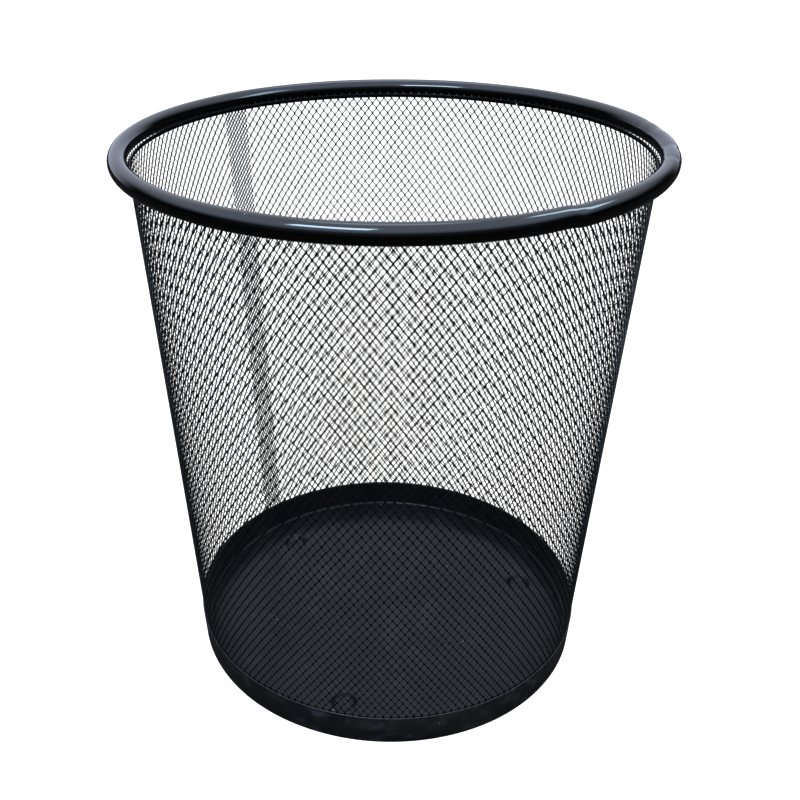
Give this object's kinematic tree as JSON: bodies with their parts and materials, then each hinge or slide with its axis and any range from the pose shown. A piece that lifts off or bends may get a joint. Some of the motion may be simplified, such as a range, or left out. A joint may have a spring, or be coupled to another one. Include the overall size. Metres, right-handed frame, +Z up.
{
  "type": "wastebasket",
  "caption": "Round open-topped mesh wastebasket: tapered expanded-metal wall, tube hoop at the mouth, solid base band and pressed floor.",
  "frame": {"origin": "on the ground under the middle of the basket, level with the feet's undersides", "axes": "+Z up along the basket's axis; the sheet's lap seam lies at 134.4 degrees from +X towards +Y"},
  "size_m": [0.265, 0.265, 0.286],
  "materials": {
    "hoop_paint": "glossy black enamel, smooth, with faint runs and dust",
    "strip_paint": "semi-gloss black enamel",
    "mesh_paint": "semi-gloss black enamel on cut and stretched strands",
    "band_paint": "semi-gloss black enamel, faint smudges",
    "floor_paint": "semi-gloss black enamel with dust specks"
  },
  "bodies": {
    "root": {"rim_tube": "hoop_paint", "clamp_strip": "strip_paint", "mesh_wall": "mesh_paint", "base_band": "band_paint", "floor_pan": "floor_paint"}
  },
  "joints": []
}
